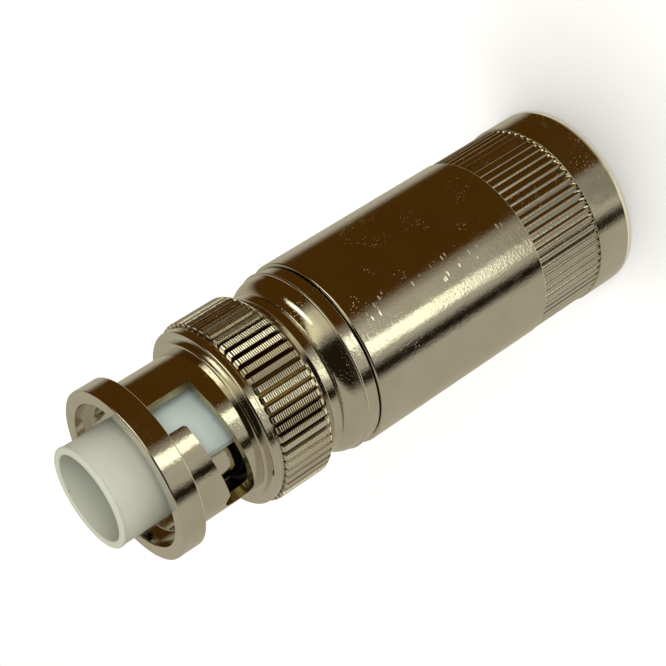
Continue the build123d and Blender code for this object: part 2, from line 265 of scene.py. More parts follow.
@dataclass(frozen=True)
class NickelPlate:
    """Bright nickel over turned brass: a warm mirror, softened by turning marks and handling."""

    name: str = "bright_nickel_on_turned_brass"
    bright: str = "#DAD7D0"
    warm: str = "#D3CEC3"
    groove_shade: str = "#64502F"
    roughness: tuple[float, float] = (0.05, 0.13)
    turning_mm: float = 0.09
    turning_depth_mm: float = 0.0009
    peel_mm: float = 0.4
    peel_depth_mm: float = 0.0038
    grain_mm: float = 0.2
    grain_depth_mm: float = 0.0035
    speck_mm: float = 0.22
    speck_depth_mm: float = 0.01
    drift_mm: float = 5.0
    smear_mm: float = 1.6
    hair_mm: float = 0.12
    hair_depth_mm: float = 0.004
    nick_mm: float = 1.05
    nick_lean: float = 0.23
    groove_mm: tuple[float, float] = (0.0, 0.0)
    nicked_deg: tuple[float, float] = (0.0, 0.0)
    nicked_mm: tuple[float, float] = (0.0, 0.0)

    def make(self) -> bpy.types.Material:
        """Build the material: colour drift, smears, turning rings, nicks, specks and fine scratches."""
        material, tree, shader = new_material(self.name)
        point = object_point(tree)
        height = add_node(tree, "SeparateXYZ", {0: point}).outputs["Z"]
        shader.inputs["Metallic"].default_value = 1.0
        tree.links.new(self._plate(tree, point), shader.inputs["Base Color"])
        # Handling leaves faint smears, duller than the bare plate.
        smear = scaled_noise(tree, point, self.smear_mm, detail=6.0)
        tree.links.new(mapped_range(tree, smear, (0.3, 0.72), self.roughness), shader.inputs["Roughness"])
        normal = bumped(tree, turning_rings(tree, height, self.turning_mm), self.turning_depth_mm)
        for size, detail, depth in ((self.peel_mm, 3.0, self.peel_depth_mm),
                                    (self.grain_mm, 2.0, self.grain_depth_mm)):
            normal = bumped(tree, scaled_noise(tree, point, size, detail=detail), depth, normal)
        if self.nicked_deg[1] > self.nicked_deg[0]:
            normal = self._nicks(tree, point, height, normal)
        specks = add_node(tree, "TexVoronoi", {"Vector": point, "Scale": 1 / (self.speck_mm * MM)},
                          feature="F1")
        pit = mapped_range(tree, specks.outputs["Distance"], (0.05, 0.2), (0, 1))
        gate = mapped_range(tree, scaled_noise(tree, point, 2.4, detail=1.0), (0.55, 0.68), (0, 1))
        pits = arithmetic(tree, "MULTIPLY", arithmetic(tree, "SUBTRACT", 1.0, pit), gate)
        normal = bumped(tree, pits, self.speck_depth_mm, normal, invert=True)
        hair = scaled_noise(tree, point, self.hair_mm, Vector((1, 1, 0.06)), detail=2.0)
        lines = mapped_range(tree, hair, (0.62, 0.75), (0, 1))
        normal = bumped(tree, lines, self.hair_depth_mm, normal, strength=0.35)
        tree.links.new(normal, shader.inputs["Normal"])
        return material

    def _plate(self, tree: bpy.types.NodeTree, point: bpy.types.NodeSocket) -> bpy.types.NodeSocket:
        """The plate's colour, with painted shade in the grooves where there are any.

        Args:
            tree: the node tree.
            point: the coordinates, in metres.

        Returns:
            The colour.
        """
        # Plating thickness drifts over a few millimetres, which the eye reads as warmer patches.
        drift = mapped_range(tree, scaled_noise(tree, point, self.drift_mm, detail=2.0), (0.35, 0.65), (0, 1))
        plate = add_node(tree, "MixRGB", {"Fac": drift, "Color1": linear(self.bright),
                                          "Color2": linear(self.warm)}).outputs[0]
        # Painted shade: below the given radius the grooves darken toward a dark brown.
        if self.groove_mm[1] > 0:
            flat = add_node(tree, "VectorMath", {0: point, 1: (1, 1, 0)}, operation="MULTIPLY").outputs[0]
            reach = add_node(tree, "VectorMath", {0: flat}, operation="LENGTH").outputs["Value"]
            outside_groove_shade = mapped_range(tree, reach, (self.groove_mm[0] * MM, self.groove_mm[1] * MM), (0, 1))
            plate = add_node(tree, "MixRGB", {"Fac": outside_groove_shade, "Color1": linear(self.groove_shade),
                                              "Color2": plate}).outputs[0]
        return plate

    def _nicks(self, tree: bpy.types.NodeTree, point: bpy.types.NodeSocket, height: bpy.types.NodeSocket,
               normal: bpy.types.NodeSocket) -> bpy.types.NodeSocket:
        """Short nicks across the axis, in loose groups on one side, whose floors lean one way.

        Args:
            tree: the node tree.
            point: the coordinates, in metres.
            height: the coordinate along the axis.
            normal: the normal that the nicks are added to.

        Returns:
            The nicked normal.
        """
        east, north, _ = add_node(tree, "SeparateXYZ", {0: point}).outputs
        first, last = (math.radians(angle) for angle in self.nicked_deg)
        side = inside(tree, axis_angle(tree, east, north), first, last, math.radians(2))
        length = inside(tree, height, self.nicked_mm[0] * MM, self.nicked_mm[1] * MM, 0.8 * MM)
        group = mapped_range(tree, scaled_noise(tree, point, 2.0, detail=1.0), (0.44, 0.54), (0, 1))
        flat = add_node(tree, "Mapping", {"Vector": point, "Scale": (1, 1, 3)}).outputs[0]
        cells = add_node(tree, "TexVoronoi", {"Vector": flat, "Scale": 1 / (self.nick_mm * MM)}, feature="F1")
        nick = mapped_range(tree, cells.outputs["Distance"], (0.17, 0.24), (1, 0))
        for mask in (side, length, group):
            nick = arithmetic(tree, "MULTIPLY", nick, mask)
        lean = add_node(tree, "VectorMath", {0: (-self.nick_lean, 0, 0), "Scale": nick},
                        operation="SCALE").outputs[0]
        leaned = add_node(tree, "VectorMath", {0: normal, 1: lean}, operation="ADD").outputs[0]
        return add_node(tree, "VectorMath", {0: leaned}, operation="NORMALIZE").outputs[0]


@dataclass(frozen=True)
class Insulator:
    """Turned fluoropolymer: soft, milky and slightly waxy, with a few dark specks of dirt."""

    name: str = "milky_fluoropolymer"
    light: str = "#B2B4A5"
    stem_painted_reflection: str = "#AEB8B1"
    cloud: str = "#A5A18A"
    dirt: str = "#5C574A"
    warm_above_mm: float = 42.0
    fade_mm: float = 2.5
    speck_mm: float = 1.7
    turning_mm: float = 0.12
    scuff_mm: float = 0.35
    relief_mm: float = 0.004

    def make(self) -> bpy.types.Material:
        """Build the material: a warm nose, a cooler tint painted on the stem as painted reflection and shade,
        faint turning and dirt specks.
        """
        material, tree, shader = new_material(self.name)
        point = object_point(tree)
        height = add_node(tree, "SeparateXYZ", {0: point}).outputs["Z"]
        # Painted reflection and shade: below the nose the stem, shaded inside the sleeve, gets a cooler tint.
        nose = mapped_range(tree, height, ((self.warm_above_mm - self.fade_mm) * MM, self.warm_above_mm * MM),
                            (0, 1))
        base = add_node(tree, "MixRGB", {"Fac": nose, "Color1": linear(self.stem_painted_reflection),
                                         "Color2": linear(self.light)})
        cloud = mapped_range(tree, scaled_noise(tree, point, 2.2, detail=4.0), (0.3, 0.75), (0, 0.22))
        clouded = add_node(tree, "MixRGB", {"Fac": cloud, "Color1": base.outputs[0],
                                            "Color2": linear(self.cloud)})
        specks = add_node(tree, "TexVoronoi", {"Vector": point, "Scale": 1 / (self.speck_mm * MM)},
                          feature="F1")
        dot = mapped_range(tree, specks.outputs["Distance"], (0.03, 0.055), (0.75, 0))
        spotted = add_node(tree, "MixRGB", {"Fac": dot, "Color1": clouded.outputs[0],
                                            "Color2": linear(self.dirt)})
        tree.links.new(spotted.outputs[0], shader.inputs["Base Color"])
        shader.inputs["Roughness"].default_value = 0.42
        shader.inputs["IOR"].default_value = 1.38
        shader.inputs["Subsurface Weight"].default_value = 0.25
        shader.inputs["Subsurface Radius"].default_value = (1.0, 0.9, 0.75)
        shader.inputs["Subsurface Scale"].default_value = 0.5 * MM
        surface = arithmetic(tree, "ADD", turning_rings(tree, height, self.turning_mm),
                             scaled_noise(tree, point, self.scuff_mm, detail=5.0))
        tree.links.new(bumped(tree, surface, self.relief_mm, strength=0.5), shader.inputs["Normal"])
        return material


@dataclass(frozen=True)
class PlainFinish:
    """A finish with one tone that drifts a little: rubber, spring steel or gold plate."""

    name: str
    light: str
    dark: str
    metallic: float
    roughness: tuple[float, float]
    grain_mm: float
    depth_mm: float

    def make(self) -> bpy.types.Material:
        """Build the material from its grain."""
        material, tree, shader = new_material(self.name)
        point = object_point(tree)
        grain = scaled_noise(tree, point, self.grain_mm, detail=5.0)
        tone = add_node(tree, "MixRGB", {"Fac": mapped_range(tree, grain, (0.3, 0.7), (0, 1)),
                                         "Color1": linear(self.light), "Color2": linear(self.dark)})
        tree.links.new(tone.outputs[0], shader.inputs["Base Color"])
        tree.links.new(mapped_range(tree, grain, (0.3, 0.7), self.roughness), shader.inputs["Roughness"])
        shader.inputs["Metallic"].default_value = self.metallic
        tree.links.new(bumped(tree, grain, self.depth_mm, strength=0.6), shader.inputs["Normal"])
        return material


@dataclass(frozen=True)
class Corner:
    """One corner of a turned outline, in millimetres, with the size of its rounding."""

    radius: float
    height: float
    rounding: float = 0.0


@dataclass(frozen=True)
class Ribs:
    """Straight ribs round a ring, in millimetres."""

    radius: float
    count: int
    depth: float
    mouth: float
    floor: float
    ease: float
    crown: float


class Lathe:
    """Turns outlines and ribbed rings into closed solids about the plug's axis."""

    def __init__(self, steps: int = 224) -> None:
        """Keep how finely a turn is divided.

        Args:
            steps: faces round a full turn.
        """
        self.steps = steps

    def turn(self, corners: Sequence[Corner]) -> bmesh.types.BMesh:
        """Spin a closed outline all the way round.

        Args:
            corners: the outline's corners in order.

        Returns:
            A bmesh of the solid, in metres.
        """
        mesh = bmesh.new()
        points = [mesh.verts.new((c.radius * MM, 0, c.height * MM)) for c in corners]
        for first, second in zip(points, points[1:] + points[:1]):
            mesh.edges.new((first, second))
        for point, corner in zip(points, corners):
            if corner.rounding > 0:
                bmesh.ops.bevel(mesh, geom=[point], offset=corner.rounding * MM, offset_type="OFFSET",
                                segments=max(3, round(corner.rounding / 0.1)), profile=0.5,
                                affect="VERTICES", clamp_overlap=True, material=-1)
        self._hold_straights(mesh)
        bmesh.ops.spin(mesh, geom=mesh.verts[:] + mesh.edges[:], axis=(0, 0, 1), cent=(0, 0, 0),
                       steps=self.steps, angle=2 * math.pi, use_merge=True)
        return self._closed(mesh)

    def ribbed_ring(self, ribs: Ribs, core: float,
                    stages: Sequence[tuple[float, float]]) -> bmesh.types.BMesh:
        """A ring with straight ribs all round, drawn up from one loop through several stages.

        Args:
            ribs: the ribs' sizes.
            core: the radius of the ring's inside.
            stages: heights in order, each with the largest radius that the ribs have there.

        Returns:
            A bmesh of the ring, in metres.
        """
        mesh = bmesh.new()
        full = mesh.verts.layers.float.new("full_radius")
        root = ribs.radius - ribs.depth
        half_floor = ribs.floor / 2 / root
        half_mouth = ribs.mouth / 2 / ribs.radius
        half_land = (ribs.mouth / 2 + ribs.ease) / ribs.radius
        pitch = 2 * math.pi / ribs.count
        foot = ribs.radius - ribs.crown - ribs.ease
        tooth = [(root, -half_floor), (root, half_floor), (foot, half_mouth)]
        tooth += [(ribs.radius - ribs.crown * (i / 2 - 1) ** 2, half_land + (pitch - 2 * half_land) * i / 4)
                  for i in range(5)]
        tooth += [(foot, pitch - half_mouth), (root, pitch - half_floor)]
        points = []
        for radius, angle in tooth:
            point = mesh.verts.new((radius * MM * math.cos(angle), radius * MM * math.sin(angle), 0))
            point[full] = radius * MM
            points.append(point)
        for first, second in zip(points, points[1:]):
            mesh.edges.new((first, second))
        bmesh.ops.spin(mesh, geom=mesh.verts[:] + mesh.edges[:], axis=(0, 0, 1), cent=(0, 0, 0),
                       steps=ribs.count - 1, angle=pitch * (ribs.count - 1), use_duplicate=True)
        bmesh.ops.remove_doubles(mesh, verts=mesh.verts[:], dist=1e-7)
        loop = mesh.edges[:]
        low, high = stages[0][0], stages[-1][0]
        path = [(low, core), *stages, (high, core), (low, core)]
        for number, (height, limit) in enumerate(path):
            if number:
                made = bmesh.ops.extrude_edge_only(mesh, edges=loop)["geom"]
                loop = [item for item in made if isinstance(item, bmesh.types.BMEdge)]
            for vert in {v for edge in loop for v in edge.verts}:
                flat = vert.co.xy.normalized() * min(vert[full], limit * MM)
                vert.co = (flat.x, flat.y, height * MM)
        return self._closed(mesh)

    def thread(self, root: float, crest: float, low: float, pitch: float, turns: int) -> bmesh.types.BMesh:
        """A helical ridge round the axis, for a screw thread.

        Args:
            root: the radius at the ridge's foot.
            crest: the radius at its top.
            low: the height where it starts.
            pitch: its rise in one turn.
            turns: how many turns it makes.

        Returns:
            A bmesh of the ridge, in metres.
        """
        mesh = bmesh.new()
        steps = 64
        outline = [(root, 0), (crest, pitch * 0.36), (crest, pitch * 0.46), (root, pitch * 0.82)]
        points = [mesh.verts.new((r * MM, 0, (low + z) * MM)) for r, z in outline]
        for first, second in zip(points, points[1:] + points[:1]):
            mesh.edges.new((first, second))
        bmesh.ops.spin(mesh, geom=mesh.verts[:] + mesh.edges[:], axis=(0, 0, 1), cent=(0, 0, 0),
                       steps=steps * turns, angle=2 * math.pi * turns, dvec=(0, 0, pitch * MM / steps))
        bmesh.ops.holes_fill(mesh, edges=[e for e in mesh.edges if e.is_boundary])
        return self._closed(mesh)

    @staticmethod
    def _hold_straights(mesh: bmesh.types.BMesh, longer: float = 0.3, near: float = 0.02) -> None:
        """Put a point close to both ends of each long straight, so that it shades flat.

        Args:
            mesh: the outline.
            longer: the length in millimetres above which a straight gets the points.
            near: their distance from its ends, in millimetres.
        """
        for edge in [e for e in mesh.edges if e.calc_length() > longer * MM]:
            first, second = edge.verts
            start, end = first.co.copy(), second.co.copy()
            part = near * MM / edge.calc_length()
            point = bmesh.utils.edge_split(edge, first, 0.5)[1]
            point.co = start.lerp(end, part)
            rest = next(e for e in point.link_edges if second in e.verts)
            bmesh.utils.edge_split(rest, point, 0.5)[1].co = end.lerp(start, part)

    @staticmethod
    def _closed(mesh: bmesh.types.BMesh) -> bmesh.types.BMesh:
        """Merge what coincides and turn every face outward."""
        bmesh.ops.remove_doubles(mesh, verts=mesh.verts[:], dist=1e-7)
        bmesh.ops.recalc_face_normals(mesh, faces=mesh.faces[:])
        return mesh


def upright_band(columns: Sequence[tuple[float, float, float]], inner: float,
                 outer: float) -> bmesh.types.BMesh:
    """A closed solid round part of the axis, from columns with their own low and high ends.

    Args:
        columns: angle in degrees from the side that faces -Y, lower height and upper height.
        inner: the inner radius.
        outer: the outer radius.

    Returns:
        A bmesh in metres.
    """
    mesh = bmesh.new()
    rows = []
    for angle, low, high in columns:
        across, along = math.sin(math.radians(angle)), -math.cos(math.radians(angle))
        corners = ((inner, low), (outer, low), (outer, high), (inner, high))
        rows.append([mesh.verts.new((r * MM * across, r * MM * along, z * MM)) for r, z in corners])
    for before, after in zip(rows, rows[1:]):
        for i in range(4):
            j = (i + 1) % 4
            mesh.faces.new((before[i], before[j], after[j], after[i]))
    mesh.faces.new(rows[0])
    mesh.faces.new(rows[-1][::-1])
    bmesh.ops.recalc_face_normals(mesh, faces=mesh.faces[:])
    return mesh


def join(*meshes: bmesh.types.BMesh) -> bmesh.types.BMesh:
    """Put several solids into the first one's bmesh.

    Args:
        meshes: the solids; all but the first are freed.

    Returns:
        The first bmesh with everything in it.
    """
    first = meshes[0]
    for other in meshes[1:]:
        data = bpy.data.meshes.new("joining")
        other.to_mesh(data)
        other.free()
        first.from_mesh(data)
        bpy.data.meshes.remove(data)
    return first


class Piece:
    """One visible piece: its mesh, its finish and the CAD body that carries it."""

    def __init__(self, name: str, mesh: bmesh.types.BMesh, sharp_deg: float = 32.0) -> None:
        """Make the object.

        Args:
            name: the piece's name.
            mesh: its shape, freed here.
            sharp_deg: edges steeper than this stay sharp.
        """
        data = bpy.data.meshes.new(name)
        mesh.to_mesh(data)
        mesh.free()
        data.shade_smooth()
        data.set_sharp_from_angle(angle=math.radians(sharp_deg))
        self.sharp_deg = sharp_deg
        self.body = bpy.data.objects.new(name, data)
        bpy.context.scene.collection.objects.link(self.body)

    def cut(self, cutters: Sequence[bmesh.types.BMesh]) -> None:
        """Cut other solids away and apply the result.

        Args:
            cutters: the solids, freed here.
        """
        tools = bpy.data.collections.new(self.body.name + "_cutters")
        bpy.context.scene.collection.children.link(tools)
        for number, mesh in enumerate(cutters):
            data = bpy.data.meshes.new(f"cutter_{number}")
            mesh.to_mesh(data)
            mesh.free()
            tools.objects.link(bpy.data.objects.new(data.name, data))
        change = self.body.modifiers.new("windows", "BOOLEAN")
        change.operation, change.solver = "DIFFERENCE", "EXACT"
        change.operand_type, change.collection = "COLLECTION", tools
        bpy.context.view_layer.update()
        graph = bpy.context.evaluated_depsgraph_get()
        result = bpy.data.meshes.new_from_object(self.body.evaluated_get(graph))
        self.body.modifiers.remove(change)
        old, self.body.data = self.body.data, result
        bpy.data.meshes.remove(old)
        result.name = self.body.name
        for tool in list(tools.objects):
            data = tool.data
            bpy.data.objects.remove(tool)
            bpy.data.meshes.remove(data)
        bpy.data.collections.remove(tools)

    def ease_edges(self, chosen: Callable[[bmesh.types.BMEdge], bool], size: float) -> None:
        """Put a small rounding on some sharp edges.

        Args:
            chosen: says whether an edge is one of them.
            size: the rounding in millimetres.
        """
        mesh = bmesh.new()
        mesh.from_mesh(self.body.data)
        edges = [e for e in mesh.edges
                 if e.is_manifold and e.calc_face_angle(0) > math.radians(40) and chosen(e)]
        eased = set(bmesh.ops.bevel(mesh, geom=edges, offset=size * MM, offset_type="OFFSET", segments=2,
                                    profile=0.5, affect="EDGES", clamp_overlap=True, material=-1)["faces"])
        bmesh.ops.recalc_face_normals(mesh, faces=mesh.faces[:])
        for face in mesh.faces:
            face.smooth = True
        # The rounding's borders stay sharp, so that the large faces beside it shade as if uncut.
        for edge in mesh.edges:
            border = len(eased.intersection(edge.link_faces)) == 1
            edge.smooth = edge.calc_face_angle(0) < math.radians(self.sharp_deg) and not border
        mesh.to_mesh(self.body.data)
        mesh.free()

    def finish(self, material: bpy.types.Material, slot: Slot, carrier: str, *nodes: str) -> None:
        """Give the piece its material and its place in the frame.

        Args:
            material: the finish.
            slot: the record's slot that the finish belongs to; not used.
            carrier: the CAD body that it rides on.
            nodes: the CAD nodes that it stands for.
        """
        self.body.data.materials.clear()
        self.body.data.materials.append(material)
        if nodes:
            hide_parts(*nodes)
        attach(self.body, carrier)
        LOG.info("%s: %d faces on %s", self.body.name, len(self.body.data.polygons), carrier)

    def refinish(self, material: bpy.types.Material, chosen: Callable[[bpy.types.MeshPolygon], bool]) -> None:
        """Give some faces another material.

        Args:
            material: the finish of those faces.
            chosen: says whether a face is one of them.
        """
        self.body.data.materials.append(material)
        for face in self.body.data.polygons:
            if chosen(face):
                face.material_index = 1


@dataclass(frozen=True)
class CamWindow:
    """The bayonet slot's outline: angles in degrees from the side that faces -Y, heights in mm."""

    entry: float = 20.0
    width: float = 25.5
    turn: float = 90.0
    base: float = 36.79
    ramp_start: float = 2.2
    ramp_drop: float = 1.6
    floor_drop: float = 1.1
    corner: float = 0.3
    stud: float = 1.07
    detent: float = 0.3
    neck: float = 5.68

    def front(self, angle: float) -> float:
        """Height of the ramp's edge.

        Args:
            angle: where, in degrees from the side that faces -Y.

        Returns:
            The height in millimetres.
        """
        near = self.entry - self.width / 2
        travel = min(max((near - angle) / self.turn, 0), 1)
        ramp = max(self.ramp_start - self.ramp_drop * travel ** 1.3, 2 * self.stud - self.floor_drop)
        short = self.corner - min(max(math.radians(near - angle) * self.neck, 0), self.corner)
        return self.base + ramp + self.corner - math.sqrt(self.corner ** 2 - short ** 2)

    def rear(self, angle: float) -> float:
        """Height of the rear edge.

        Args:
            angle: where, in degrees from the side that faces -Y.

        Returns:
            The height in millimetres.
        """
        return self.base - self.floor_drop * min(max((self.entry - angle) / self.turn, 0), 1)

    def columns(self, top: float) -> list[tuple[float, float, float]]:
        """The whole opening as columns of low and high.

        Args:
            top: the height that the straight entry reaches.

        Returns:
            Angle, low and high of each column, from the entry's far side to the seat's end.
        """
        near, far = self.entry - self.width / 2, self.entry + self.width / 2
        last = self.entry - self.turn
        entry = [far - (far - near) * i / 9 for i in range(10)]
        columns = [(angle, self.rear(angle), top) for angle in entry]
        corner = math.degrees(self.corner / self.neck)
        angles = [near - 0.02 - corner * i / 8 for i in range(9)]
        reach = math.degrees(math.asin(self.stud / self.neck))
        count = 34
        angles += [angles[-1] + (last - angles[-1]) * i / count for i in range(1, count + 1)]
        angles += [last - reach * math.sin(math.pi / 2 * i / 12) for i in range(1, 13)]
        centre = self.rear(last) + self.stud
        for angle in angles:
            across = abs(math.sin(math.radians(angle - last))) * self.neck
            low, high = self.rear(angle), self.front(angle)
            if across < self.stud:
                bulge = math.sqrt(self.stud ** 2 - across ** 2)
                if angle < last:
                    low, high = centre - bulge, centre + self.detent + bulge
                else:
                    low, high = min(low, centre - bulge), max(high, centre + self.detent + bulge)
            elif angle < last:
                low, high = centre, centre + self.detent
            columns.append((angle, low, high))
        return columns


class Plug:
    """Builds the plug's pieces over the CAD frame."""

    def __init__(self, lathe: Lathe) -> None:
        """Make the finishes that several pieces share.

        Args:
            lathe: what turns the shapes.
        """
        self.lathe = lathe
        self.nickel = NickelPlate().make()
        self.barrel_nickel = NickelPlate(name="bright_nickel_on_turned_barrel", turning_mm=0.12,
                                         speck_depth_mm=0.02, roughness=(0.06, 0.15),
                                         nicked_deg=(-6, 10), nicked_mm=(9.5, 24.5)).make()
        # Painted shade: the windows' milled walls get a darker, browner plate than the rest.
        self.shaded_wall_nickel = NickelPlate(name="nickel_with_painted_shade_on_milled_walls", bright="#C4B892", warm="#85754F",
                                       roughness=(0.2, 0.35)).make()
        # The grip's grooves get painted shade, a dark brown between 6.86 and 6.98 mm from the axis.
        self.rib_nickel = NickelPlate(name="bright_nickel_on_knurled_grip", roughness=(0.08, 0.18),
                                      groove_mm=(6.86, 6.98)).make()
        self.steel = PlainFinish("rolled_spring_steel", "#B9B6AD", "#8F8B80", metallic=1.0,
                                 roughness=(0.22, 0.4), grain_mm=0.6, depth_mm=0.002).make()
        self.rubber = PlainFinish("moulded_black_rubber", "#1E1D1B", "#141312", metallic=0.0,
                                  roughness=(0.5, 0.7), grain_mm=0.3, depth_mm=0.01).make()
        self.gold = PlainFinish("gold_on_copper_alloy", "#D9B35C", "#C79D48", metallic=1.0,
                                roughness=(0.16, 0.3), grain_mm=0.5, depth_mm=0.002).make()
        self.white = Insulator().make()

    def rear_barrel(self) -> None:
        """The clamp nut: a tube with a rounded rear edge and a shallow knurled band."""
        low, high, land, floor = 3.35, 9.2, 7.35, 7.24
        shell = self.lathe.turn([
            Corner(3.9, 0), Corner(7.47, 0, 0.42), Corner(7.47, low, 0.04), Corner(floor, low),
            Corner(floor, high), Corner(7.4, high, 0.04), Corner(7.4, 25.5, 0.13), Corner(6.25, 25.5, 0.12),
            Corner(6.25, 12.95), Corner(5.9, 12.6), Corner(5.9, 1.8), Corner(3.5, 1.8), Corner(3.5, 0.4)])
        sunk = 0.02
        band = self.lathe.ribbed_ring(
            Ribs(radius=land, count=67, depth=land - floor + sunk, mouth=0.22, floor=0.08, ease=0.02,
                 crown=0.06), 7.0, [(low - sunk, land), (high + sunk, land)])
        piece = Piece("rear_barrel_tube", join(shell, band))
        piece.finish(self.barrel_nickel, Slot.NICKEL, "barrel", "rear_barrel")

    def connector_body(self) -> None:
        """Turned body with its threaded tail, rounded shoulder, journal, collar and nose."""
        root = 5.78
        shell = self.lathe.turn([
            Corner(3.95, 13.65, 0.1), Corner(root, 13.65, 0.1), Corner(root, 25.58),
            Corner(7.15, 25.58, 0.04), Corner(7.12, 26.5), Corner(7.25, 26.54, 0.05),
            Corner(7.25, 26.68, 0.06), Corner(7.14, 26.72), Corner(6.86, 28.5, 1.34), Corner(5.3, 28.5),
            Corner(5.3, 31.85), Corner(6.12, 31.85, 0.06), Corner(6.12, 32.95, 0.06), Corner(4.8, 32.95),
            Corner(4.8, 34.35, 0.15), Corner(4.13, 34.35, 0.05), Corner(4.13, 32.55), Corner(4.48, 32.55),
            Corner(4.48, 31.75), Corner(3.95, 31.75)])
        ridge = self.lathe.thread(root - 0.03, 6.13, 13.75, 1.0, 10)
        piece = Piece("plug_body_shell", join(shell, ridge))
        piece.finish(self.nickel, Slot.NICKEL, "plug_body", "connector_body")

    def coupling_sleeve(self) -> None:
        """Bayonet sleeve: front ring, neck with two cam windows, shoulder ring and ribbed grip."""
        window = CamWindow()
        ring, ring_top, mouth_floor = 40.74, 42.64, 41.54
        bore, neck, mouth = 4.95, window.neck, 5.65
        shell = self.lathe.turn([
            Corner(6.45, 28.4, 0.05), Corner(6.45, 29.1, 0.03), Corner(6.8, 29.62), Corner(6.8, 34.05),
            Corner(6.88, 34.05), Corner(6.88, 34.27), Corner(6.95, 34.27, 0.06), Corner(6.95, 34.89, 0.15),
            Corner(6.25, 34.89), Corner(6.25, 35.24, 0.15), Corner(neck, 35.24), Corner(neck, ring),
            Corner(6.7, ring, 0.07), Corner(6.7, ring_top, 0.11), Corner(mouth, ring_top, 0.1),
            Corner(mouth, mouth_floor), Corner(bore, mouth_floor, 0.08), Corner(bore, 33.0),
            Corner(6.2, 33.0), Corner(6.2, 30.3), Corner(6.5, 30.3), Corner(6.5, 29.75),
            Corner(6.2, 29.75), Corner(6.2, 28.4, 0.06)])
        piece = Piece("coupling_sleeve_shell", shell)
        near, far = window.entry - window.width / 2, window.entry + window.width / 2
        # Both kinds start inside the bore. The windows' go past the neck, the studs' channels stop short.
        within, past_neck, channel_wall, overlap = 4.6, 6.03, 5.5, 0.35
        cutters = []
        for turn in (0, 180):
            opening = [(a + turn, low, high) for a, low, high in window.columns(ring)]
            channel = [(near + (far - near) * i / 8 + turn, ring - overlap, mouth_floor + overlap)
                       for i in range(9)]
            cutters += [upright_band(opening, within, past_neck), upright_band(channel, within, channel_wall)]
        piece.cut(cutters)

        def on_window(edge: bmesh.types.BMEdge) -> bool:
            """Whether an edge is a window's outer one."""
            reach = [v.co.xy.length / MM for v in edge.verts]
            heights = [v.co.z / MM for v in edge.verts]
            return min(reach) > neck - 0.03 and max(reach) < neck + 0.03 and 35.5 < min(heights) and \
                max(heights) < ring - 0.05

        def on_wall(face: bpy.types.MeshPolygon) -> bool:
            """Whether a face is a window's milled wall."""
            outward = Vector((face.center.x, face.center.y, 0))
            reach = outward.length / MM
            return bore + 0.01 < reach < neck - 0.02 and 35.3 < face.center.z / MM < ring - 0.01 and \
                abs(face.normal.dot(outward.normalized())) < 0.3

        piece.ease_edges(on_window, 0.05)
        piece.finish(self.nickel, Slot.NICKEL, "sleeve", "coupling_sleeve")
        # The windows' walls take the plate with painted shade.
        piece.refinish(self.shaded_wall_nickel, on_wall)
        # The knurling tool leaves fine cross ticks on the ribs' tops.
        pitch, first, dip = 0.172, 30.18, 0.027
        grip_r, count = 7.2, 21
        ticks = [(first + pitch * i + along, grip_r - depth) for i in range(count)
                 for along, depth in ((0, 0), (0.04, 0), (0.096, dip), (0.116, dip))]
        ribs = self.lathe.ribbed_ring(
            Ribs(radius=grip_r, count=58, depth=0.36, mouth=0.34, floor=0.16, ease=0.02, crown=0.0), 6.5,
            [(29.3, 6.56), (29.88, 6.97), (30.0, 7.13), (30.14, grip_r), *ticks,
             (first + pitch * count, grip_r), (33.9, grip_r), (34.0, 7.15), (34.05, 7.05)])
        grip = Piece("coupling_sleeve_ribs", ribs, sharp_deg=20)
        grip.finish(self.rib_nickel, Slot.NICKEL, "sleeve")

    def outer_contact(self) -> None:
        """Contact tube with two wide slots and a small bead at the fingers' tips."""
        inner, outer, top = 3.68, 4.1, 39.35
        shell = self.lathe.turn([
            Corner(inner, 31.75), Corner(4.45, 31.75), Corner(4.45, 32.52), Corner(outer, 32.52),
            Corner(outer, 38.4, 0.2), Corner(4.22, 38.75, 0.12), Corner(4.22, 39.05, 0.1),
            Corner(outer, top, 0.05), Corner(inner, top, 0.05)])
        piece = Piece("outer_contact_fingers", shell)
        # Each slot spans 95 degrees about the first window's middle.
        side, centre, slot_root = 47.5, 17.5, 34.95
        cutters = []
        for turn in (0, 180):
            angles = [centre - side + 2 * side * i / 24 + turn for i in range(25)]
            cutters.append(upright_band([(a, slot_root, top + 0.5) for a in angles], 3.3, 4.6))
        piece.cut(cutters)
        piece.finish(self.nickel, Slot.NICKEL, "plug_body", "outer_contact")

    def insulators(self) -> None:
        """White front insulator with its deep bore, and the rubber ring at its foot."""
        nose = self.lathe.turn([
            Corner(0.83, 31.75), Corner(3.65, 31.75), Corner(3.65, 39.53), Corner(3.91, 39.53, 0.05),
            Corner(3.91, 45.22), Corner(3.97, 45.32, 0.06), Corner(3.97, 45.6, 0.15), Corner(3.4, 45.6, 0.13),
            Corner(2.78, 35.15), Corner(0.83, 35.15)])
        piece = Piece("front_insulator_nose", nose)
        piece.finish(self.white, Slot.INSULATOR, "plug_body", "front_insulator")
        seal = self.lathe.turn([Corner(4.3, 34.35), Corner(4.75, 34.35, 0.08), Corner(4.75, 35.25, 0.16),
                                Corner(4.3, 35.25, 0.16)])
        ring = Piece("mating_gasket_ring", seal)
        ring.finish(self.rubber, Slot.RUBBER, "plug_body", "mating_gasket")

    def centre_contact(self) -> None:
        """Pin with a rounded tip and a solder cup at its rear."""
        rod = self.lathe.turn([
            Corner(0.001, 22.05), Corner(0.9, 22.05), Corner(0.9, 18.65), Corner(1.3, 18.65, 0.06),
            Corner(1.3, 29.5), Corner(0.8, 29.5), Corner(0.8, 41.0, 0.5), Corner(0.001, 41.0)])
        piece = Piece("centre_contact_pin", rod)
        piece.finish(self.gold, Slot.GOLD, "plug_body", "centre_contact")

